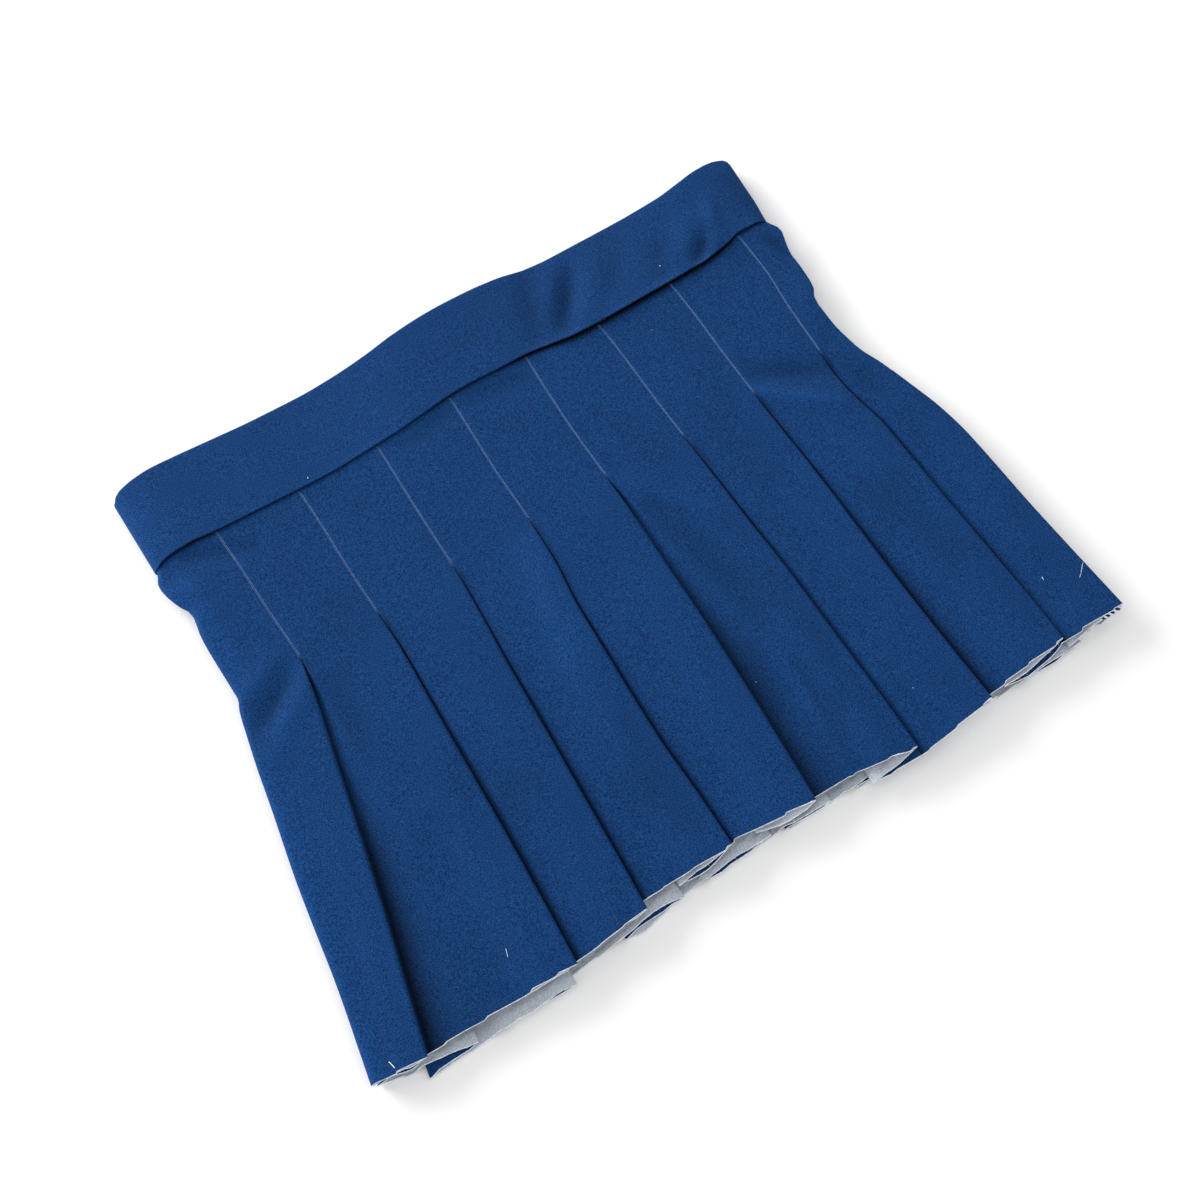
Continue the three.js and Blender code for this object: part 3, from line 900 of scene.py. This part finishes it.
def mask_group(name):
    """A soft mask from a value stored on the cloth, broken up by fine noise."""
    group, given, out = new_group(name, {"Value": 0.0, "From": 0.3, "To": 0.9, "Break": 0.3}, ("Mask",))
    place = new_node(group, "TexCoord").outputs["Object"]
    noise = new_node(group, "TexNoise", Vector=place, Scale=900.0, Detail=2.0)
    centred = math_node(group, "SUBTRACT", noise.outputs["Fac"], 0.5)
    broken = math_node(group, "MULTIPLY_ADD", centred, given["Break"], given["Value"])
    ramp = new_node(group, "MapRange", Value=broken, From_Min=given["From"], From_Max=given["To"])
    ramp.interpolation_type = "SMOOTHSTEP"
    fill(group, out, Mask=ramp.outputs["Result"])
    return group


def matte_material(name, **inputs):
    """A new rough material, with its node tree and its shader."""
    material = bpy.data.materials.new(name)
    material.use_nodes = True
    tree = material.node_tree
    return material, tree, fill(tree, tree.nodes["Principled BSDF"], Roughness=0.9, **inputs)


def knit_material(name, dark, light, worn, pale_edge_amount, bump):
    """Matte knit: two tones of yarn, paler where a seam's edge shows the pale core and on the band's top edge,
    partly a painted highlight there, and darker by painted shade, deep beside a fold.
    """
    sheen = {"Sheen_Weight": 0.02, "Sheen_Roughness": 0.5}
    material, tree, shader = matte_material(name, Specular_IOR_Level=0.08, **sheen)
    knit = group_node(tree, "Interlock knit", knit_group)
    tone = map_range(tree, knit.outputs["Tone"], 0.32, 0.68)
    patch = map_range(tree, knit.outputs["Broad"], 0.3, 0.7, 0.94, 1.06)
    # Painted shade darkens the colour by the stored value; below 0 it is painted light.
    lit = math_node(tree, "SUBTRACT", 1.0, stored_value(tree, "hollow"))
    shaded = new_node(tree, "VectorMath")
    shaded.operation = "SCALE"
    feed(tree, shaded.inputs[0], mix_node(tree, tone, dark, light))
    fill(tree, shaded, Scale=math_node(tree, "MULTIPLY", patch, lit))
    # Pale edges: the pale core along seams, and partly a painted highlight on the band's top edge.
    edge = stored_value(tree, "worn")
    mask = group_node(tree, "Broken mask", mask_group, Value=edge, From=0.1, To=0.9, Break=0.4)
    shown = math_node(tree, "MULTIPLY", mask.outputs["Mask"], pale_edge_amount)
    relief = new_node(tree, "Bump", Strength=bump, Distance=BUMP_DISTANCE, Height=knit.outputs["Height"])
    colour = mix_node(tree, shown, shaded.outputs[0], worn)
    fill(tree, shader, Base_Color=colour, Normal=relief.outputs["Normal"])
    return material


def fibre_material(name, dark, light):
    """Yarn or thread, slightly uneven in tone."""
    if name in bpy.data.materials:
        return bpy.data.materials[name]
    material, tree, shader = matte_material(name, Specular_IOR_Level=0.1)
    knit = group_node(tree, "Interlock knit", knit_group, Speckles_per_metre=700.0)
    tone = map_range(tree, knit.outputs["Tone"], 0.35, 0.65)
    fill(tree, shader, Base_Color=mix_node(tree, tone, dark, light))
    return material


def cloth_materials(colours):
    """The knit's printed face, its pale inside and its raw-cut rim."""
    names = ("Blue knit face", "Pale knit inside", "Raw cut core")
    if names[0] in bpy.data.materials:
        return [bpy.data.materials[name] for name in names]
    light = tuple(colours.face_light)
    return [
        knit_material(names[0], tuple(colours.face_dark), light, tuple(colours.worn), 0.85, 0.45),
        knit_material(names[1], tuple(colours.inside_dark), tuple(colours.inside_light), light, 0.0, 0.3),
        knit_material(names[2], *CUT_CORE, light, 0.0, 0.6),
    ]


def finish_cloth(piece, materials, thickness):
    """Gives a middle surface its thickness, with the pale inside and rim, and shades it."""
    for material in materials:
        piece.data.materials.append(material)
    solid = piece.modifiers.new("Thickness", "SOLIDIFY")
    solid.thickness = thickness * MM
    solid.offset = 0
    solid.use_even_offset = True
    solid.use_quality_normals = True
    solid.material_offset = 1
    solid.material_offset_rim = 2
    select_only(piece)
    bpy.ops.object.modifier_apply(modifier=solid.name)
    bpy.ops.object.shade_smooth_by_angle(angle=SMOOTH_ANGLE)


# Settings


def colour_setting(name, description, default):
    return FloatVectorProperty(name=name, description=description, subtype="COLOR", default=default, min=0, max=1)


class ClothColours(bpy.types.PropertyGroup):
    face_dark: colour_setting("Face, dark yarn", "Darker tone of the printed face", (0.0002, 0.0090, 0.052))
    face_light: colour_setting("Face, light yarn", "Lighter tone of the printed face", (0.0096, 0.0655, 0.218))
    # Colour of pale edges: the pale core along seams, and partly a painted highlight on the band's top edge.
    worn: colour_setting("Worn edges", "Where a fold's edge shows the pale core", (0.14, 0.255, 0.49))
    inside_dark: colour_setting("Inside, dark", "Darker tone of the pale inside", (0.34, 0.385, 0.45))
    inside_light: colour_setting("Inside, light", "Lighter tone of the pale inside", (0.60, 0.655, 0.73))


class ClothSizes(bpy.types.PropertyGroup):
    thickness: FloatProperty(
        name="Thickness", description="Thickness of the knit in millimetres", default=SHEET, min=0.4, max=1.1,
    )
    band_stations: IntProperty(
        name="Band stations", description="Steps along each face of the waistband", default=170, min=40, max=400,
    )


class StageSettings(bpy.types.PropertyGroup):
    camera_azimuth: FloatProperty(
        name="Camera azimuth", description="Round the skirt, 0 looks along +Y", subtype="ANGLE",
        default=math.radians(-32.8),
    )
    camera_elevation: FloatProperty(
        name="Camera elevation", description="Above the table", subtype="ANGLE", default=math.radians(68),
    )
    camera_distance: FloatProperty(
        name="Camera distance", description="From the camera to the point it looks at", unit="LENGTH",
        default=0.8116,
    )
    camera_view: FloatProperty(
        name="Camera view", description="Angle of view", subtype="ANGLE", default=math.radians(36.36),
    )
    key_power: FloatProperty(name="Key light", description="Power of the window-like light", default=190.0, min=0)
    table_glow: FloatProperty(name="Table glow", description="Light from the white table", default=0.03, min=0)
    fill_strength: FloatProperty(name="Fill", description="Strength of the all-round light", default=0.85, min=0)


class SkirtSettings(bpy.types.PropertyGroup):
    colours: PointerProperty(type=ClothColours)
    sizes: PointerProperty(type=ClothSizes)
    stage: PointerProperty(type=StageSettings)


# Pieces


def make_panel(panel, skirt, cut):
    """A pleated panel with its thickness and its frayed rim. Its cut edge in the waist seam is blue, not pale."""
    points, u, down, worn, hollow = panel_grid(panel)
    mesh = grid_mesh(panel.name, points)
    lay_uv(mesh, u, down)
    point_value(mesh, "worn", worn)
    point_value(mesh, "hollow", hollow)
    piece = link(panel.name, mesh)
    finish_cloth(piece, cloth_materials(skirt.colours), skirt.sizes.thickness)
    turned_in = to_part_frame([0, -TURNED_IN, 0])[1]
    for face in piece.data.polygons:
        if face.material_index == 2 and face.center.y > turned_in:
            face.material_index = 0
    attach(piece, "root")
    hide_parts("skirt_back" if panel.behind else "skirt_front")
    rim = make_rim(panel, cut["rim"])


def tube(path, radii, sides, flat=1.0, outward=(0, -1, 0)):
    """Points and faces of a closed tube along a path, its width along outward and its height flat times that."""
    path = np.asarray(path, float)
    heading = np.gradient(path, axis=0)
    heading /= np.maximum(np.linalg.norm(heading, axis=1, keepdims=True), 1e-9)
    out = np.broadcast_to(np.array(outward, float), path.shape)
    out = out - heading * np.sum(out * heading, axis=1, keepdims=True)
    out /= np.maximum(np.linalg.norm(out, axis=1, keepdims=True), 1e-9)
    up = np.cross(out, heading)
    turn = np.linspace(0, 2 * np.pi, sides, endpoint=False)
    radii = np.broadcast_to(radii, len(path))[:, None, None]
    ring = np.cos(turn)[None, :, None] * out[:, None] + flat * np.sin(turn)[None, :, None] * up[:, None]
    points = (path[:, None] + radii * ring).reshape(-1, 3)
    quads = grid_quads(len(path), sides, True, False)[:, [0, 3, 2, 1]]
    first, last = range(sides), range(len(points) - sides, len(points))
    return points, quads.tolist() + [list(reversed(first)), list(last)]


def join_tubes(name, tubes, dark):
    """One mesh of many tubes, moved to the part's frame; those numbered in dark take the second material."""
    points, faces, slots, base = [], [], [], 0
    for number, (found, quads) in enumerate(tubes):
        points.append(found)
        faces += [[corner + base for corner in face] for face in quads]
        slots += [int(number in dark)] * len(quads)
        base += len(found)
    mesh = new_mesh(name, np.concatenate(points), faces)
    mesh.polygons.foreach_set("material_index", slots)
    mesh.update()
    return mesh


def make_rim(panel, name):
    """The raw-cut hem's frayed rim: an uneven pale edge with loose ends of yarn."""
    random = np.random.default_rng(31 + panel.behind)
    points, *_ = panel_grid(panel)
    edge = points[-1]
    steps = np.linalg.norm(np.diff(edge, axis=0), axis=1)
    along = np.concatenate([[0], np.cumsum(steps)])
    at = np.arange(0, along[-1], RIM_STEP)
    path = np.stack([np.interp(at, along, edge[:, k]) for k in range(3)], 1)
    knots = np.arange(0, along[-1] + 2, RIM_KNOT)
    slow_knots = knots[::RIM_SLOW_KNOTS]
    rough = np.interp(at, knots, random.uniform(*RIM_ROUGH, len(knots)))
    slow = np.interp(at, slow_knots, random.uniform(*RIM_SLOW, len(slow_knots)))
    path[:, 1] -= RIM_STRAY * random.uniform(0, 1.0, len(at))
    tubes = [tube(path, RIM_RADIUS * rough * slow, 6, flat=1.5)]
    for _ in range(FIBRES):
        start = path[random.integers(2, len(path) - 2)]
        aim = np.array([random.normal(0, 0.8), -random.uniform(0.2, 1.0), random.normal(0.1, 0.3)])
        aim /= np.linalg.norm(aim)
        length = random.uniform(*FIBRE_LENGTHS)
        bend = np.array([random.normal(0, 0.5), random.normal(0, 0.3), random.normal(0, 0.15)]) * length
        t = np.linspace(0, 1, 4)[:, None]
        strand = start + aim * length * t + bend * t * t
        strand[:, 2] = np.clip(strand[:, 2], *FIBRE_HEIGHTS)
        tubes.append(tube(strand, FIBRE_RADIUS, 3, outward=(0, 0, 1)))
    tail = [] if panel.behind else thread_tail()
    return finish_fibres(name, tubes + tail, (len(tubes),))


def thread_tail():
    """A dark and a pale thread twisted together, left hanging from the end of a side seam."""
    t = np.linspace(0, 1, TAIL_STEPS)
    places = [(k / (len(TAIL) - 1), *point) for k, point in enumerate(TAIL)]
    middle = np.stack([smooth_rows(places, axis + 1, t) for axis in range(3)], 1)
    turn = t * 2 * np.pi * TAIL_TURNS
    around = TAIL_THREAD * np.stack([0 * t, np.cos(turn), np.sin(turn)], 1)
    return [tube(middle + side * around, TAIL_THREAD, 6, outward=(0, 0, 1)) for side in (1, -1)]


def finish_fibres(name, tubes, dark=()):
    """One piece of many fibres; those numbered in dark are of the dark thread."""
    piece = link(name, join_tubes(name, tubes, dark))
    piece.data.materials.append(fibre_material("Cut yarn", *CUT_YARN))
    piece.data.materials.append(fibre_material("Navy thread", *NAVY_THREAD))
    select_only(piece)
    bpy.ops.object.shade_smooth()
    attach(piece, "root")
    return piece


def height_under(x, y):
    """Height in millimetres of the highest cloth at a place in the cutter's frame."""
    start = Vector(to_part_frame([x, y, ABOVE_ALL]).tolist())
    heights = [0.0]
    for name in ("front_panel", "waistband_loop", "back_panel"):
        hit, place, *_ = bpy.data.objects[name].ray_cast(start, Vector((0, 0, -1)))
        if hit:
            heights.append(place.z / MM)
    return max(heights)


class SKIRT_OT_lint(bpy.types.Operator):
    """Scatters the loose fibres that cling to the knit"""

    bl_idname = "skirt.lint"
    bl_label = "Loose fibres"

    def execute(self, context):
        random = np.random.default_rng(5)
        tubes = []
        for thick, *route in LINT:
            places = [route[0]]
            for a, b in zip(route, route[1:]):
                places += line(a, b, max(3, round(math.dist(a, b) / LINT_STEP))).tolist()
            path = np.array([(x, y, height_under(x, y) + thick) for x, y in places])
            path[:, :2] += random.normal(0, LINT_STRAY, (len(path), 2))
            tubes.append(tube(path, thick * random.uniform(0.8, 1.1, len(path)), 5, outward=(0, 0, 1)))
        finish_fibres("lint", tubes)
        return {"FINISHED"}


class SKIRT_OT_front(bpy.types.Operator):
    """Makes the pleated front panel"""

    bl_idname = "skirt.front"
    bl_label = "Front panel"

    def execute(self, context):
        cut = {"flat": (0.9, 0.25), "area": 0.19, "rests_on": ["skirt_back"], "rim": "front_hem_rim"}
        make_panel(FRONT, context.scene.skirt, cut)
        return {"FINISHED"}


class SKIRT_OT_back(bpy.types.Operator):
    """Makes the pleated back panel under the front"""

    bl_idname = "skirt.back"
    bl_label = "Back panel"

    def execute(self, context):
        cut = {"flat": (0.9, 0.255), "area": 0.19, "rests_on": [], "rim": "back_hem_rim"}
        make_panel(BACK, context.scene.skirt, cut)
        return {"FINISHED"}


def band_profile():
    """Round the waistband's wall: up from 0 to 1, out from -1 to 1, and over, which is 1 on its lower lip."""
    face = np.linspace(0.01, 1 - TOP_ROUND, 16)
    outer = [(up, 1.0, max(0.0, 1 - up / LIP_SHARE)) for up in face]
    half_turn = np.radians(np.linspace(0, 180, 11))[1:-1]
    top = [(1 - TOP_ROUND + TOP_ROUND * math.sin(a), math.cos(a), 0) for a in half_turn]
    inner = [(up, -1.0, 0) for up in face[::-1]]
    foot = [(0.0, out, 0) for out in (-0.9, 0.0, LIP_MIDDLE - 0.3)]
    curl = np.radians(np.linspace(10, 170, 8))
    lip = [(0.0, LIP_MIDDLE - LIP_CURL * math.cos(a), 0.3 + 0.7 * math.sin(a)) for a in curl]
    return np.array(outer + top + inner + foot + lip)


def band_grid(stations):
    """Points of the waistband's wall as rings of its profile round the flattened loop, how far round the loop each
    ring is, and how far up the wall each point of a ring is."""
    profile = band_profile()
    wall = BAND_WALL / 2
    up, out, over = profile[:, 0], profile[:, 1] * wall, profile[:, 2] * BAND_OVERHANG
    left, right = WAIST_SEAM[0][0], WAIST_SEAM[-1][0]
    rings, across = [], []

    def height_at(x):
        """How high the front's outer face stands at x, for each point of a ring."""
        return blend(BAND_TOP + smooth_rows(LIP, 1, x), smooth_rows(BAND_EDGE, 2, x), up)

    def place(x, z, behind=0.0):
        """A ring at x and z. Behind is 0 for the front of the loop and 1 for its back."""
        seam = blend(smooth_rows(WAIST_SEAM, 1, x), smooth_rows(BACK_SEAM, 1, x), behind) + SEAM_GAP / 2
        y = blend(seam, smooth_rows(BAND_EDGE, 1, x), up) - over * (1 - behind)
        return np.stack([np.broadcast_to(x, up.shape), y, np.broadcast_to(z, up.shape)], -1)

    def end(corner, edge, side):
        """Rings round one end of the loop from front to back. Side is 1 at the right and -1 at the left."""
        roll = height_at(corner) / 2 - wall
        found = []
        for share in (0.25, 0.5, 0.75):
            x = blend(corner - side * BAND_INSET, edge - side * (roll + wall), share)
            found.append(place(x, height_at(x) - wall + out))
        for turn in np.radians(np.linspace(0, 180, 19)):
            x = edge + side * ((roll + out) * math.sin(turn) - roll - wall)
            found.append(place(x, wall + roll + (roll + out) * math.cos(turn), turn / math.pi))
        return found

    def add(ring, step=BAND_END_STEP):
        rings.append(ring)
        across.append(across[-1] + step)

    for x in np.linspace(left + BAND_INSET, right - BAND_INSET, stations):
        relief = crease_height(BAND_CREASES, np.full(up.shape, x), up * BAND_HEIGHT)
        rings.append(place(x, height_at(x) - wall + relief + out))
        across.append(x)
    for ring in end(right, right + RIGHT_LEAN * up + RIGHT_FOOT * np.clip(up / RIGHT_FOOT_SHARE, 0, 1), 1):
        add(ring)
    for x in np.linspace(right - BAND_INSET, left + BAND_INSET, stations // 3):
        add(place(x, wall - out, 1.0), 3 * BAND_BACK_LENGTH / stations)
    for ring in reversed(end(left, left - LEFT_OUT - LEFT_LEAN * up, -1)):
        add(ring)
    return np.stack(rings), np.array(across), up


class SKIRT_OT_waistband(bpy.types.Operator):
    """Makes the folded waistband loop"""

    bl_idname = "skirt.waistband"
    bl_label = "Waistband"

    def execute(self, context):
        skirt = context.scene.skirt
        points, across, up = band_grid(skirt.sizes.band_stations)
        mesh = grid_mesh("waistband_loop", points, closed=True)
        u = across[:, None] + np.zeros(points.shape[:2])
        v = BAND_HEIGHT * up[None, :] + np.zeros(points.shape[:2])
        lay_uv(mesh, u, v)
        # The pale line on the top edge: partly the pale core at the fold, partly a painted highlight.
        top_edge = np.clip((v - BAND_HEIGHT) / EDGE_MARK_WIDTH + 1, 0, 1)
        z = points[..., 2]
        point_value(mesh, "worn", EDGE_MARK * top_edge * (z > EDGE_MARK_ABOVE))
        # Painted shade and light along the band's creases, on its front only.
        front = (z > BAND_FRONT_ABOVE) * np.clip(BAND_HEIGHT - v, 0, 1)
        point_value(mesh, "hollow", crease_height(BAND_PAINTED_SHADE, points[..., 0], v) * front)
        piece = link("waistband_loop", mesh)
        piece.data.materials.append(cloth_materials(skirt.colours)[0])
        select_only(piece)
        bpy.ops.object.shade_smooth()
        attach(piece, "root")
        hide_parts("waistband")
        return {"FINISHED"}


class SKIRT_OT_stage(bpy.types.Operator):
    """Makes the table, the lights and the camera"""

    bl_idname = "skirt.stage"
    bl_label = "Table, lights and camera"

    def execute(self, context):
        scene, stage = context.scene, context.scene.skirt.stage
        bpy.ops.object.select_all(action="DESELECT")
        bpy.ops.mesh.primitive_plane_add(size=TABLE_SIZE, location=(0, 0, -TABLE_SINK))
        table = bpy.context.object
        table.name = "table_top"
        glow = {"Emission_Color": (1, 1, 1), "Emission_Strength": stage.table_glow}
        material, *_ = matte_material("Table white", Base_Color=TABLE_WHITE, **glow)
        table.data.materials.append(material)

        world = bpy.data.worlds.new("Studio")
        scene.world = world
        world.use_nodes = True
        sky = world.node_tree.nodes["Background"]
        fill(world.node_tree, sky, Color=(1, 1, 1), Strength=stage.fill_strength)

        key = bpy.data.lights.new("Key", "AREA")
        key.shape = "RECTANGLE"
        key.size, key.size_y = KEY_SIZE
        key.energy = stage.key_power
        lamp = link("Key", key)
        lamp.location = KEY_PLACE
        lamp.rotation_euler = (-lamp.location).to_track_quat("-Z", "Y").to_euler()

        azimuth, elevation = stage.camera_azimuth, stage.camera_elevation
        level = math.cos(elevation)
        back = Vector((math.sin(azimuth) * level, -math.cos(azimuth) * level, math.sin(elevation)))
        looked_at = Vector(to_part_frame(LOOKED_AT).tolist())
        camera = link("Camera", bpy.data.cameras.new("Camera"))
        camera.data.sensor_width = 36
        camera.data.angle = stage.camera_view
        camera.location = looked_at + back * stage.camera_distance
        camera.rotation_euler = (math.pi / 2 - elevation, 0, azimuth)
        scene.camera = camera
        scene.view_settings.view_transform = "Standard"
        return {"FINISHED"}


class SKIRT_PT_panel(bpy.types.Panel):
    bl_label = "Tennis skirt"
    bl_idname = "SKIRT_PT_panel"
    bl_space_type = "VIEW_3D"
    bl_region_type = "UI"
    bl_category = "Skirt"

    def draw(self, context):
        for operator in OPERATORS:
            self.layout.operator(operator.bl_idname)
        settings = context.scene.skirt
        for group in (settings.colours, settings.sizes, settings.stage):
            box = self.layout.box()
            for name in group.__annotations__:
                box.prop(group, name)


OPERATORS = (SKIRT_OT_stage, SKIRT_OT_waistband, SKIRT_OT_front, SKIRT_OT_back, SKIRT_OT_lint)
CLASSES = (ClothColours, ClothSizes, StageSettings, SkirtSettings, *OPERATORS, SKIRT_PT_panel)


def register():
    for cls in CLASSES:
        bpy.utils.register_class(cls)
    bpy.types.Scene.skirt = PointerProperty(type=SkirtSettings)


def unregister():
    del bpy.types.Scene.skirt
    for cls in reversed(CLASSES):
        bpy.utils.unregister_class(cls)


def main():
    register()
    bpy.ops.skirt.stage()
    bpy.ops.skirt.waistband()
    bpy.ops.skirt.front()
    bpy.ops.skirt.back()
    bpy.ops.skirt.lint()


if __name__ == "__main__":
    main()
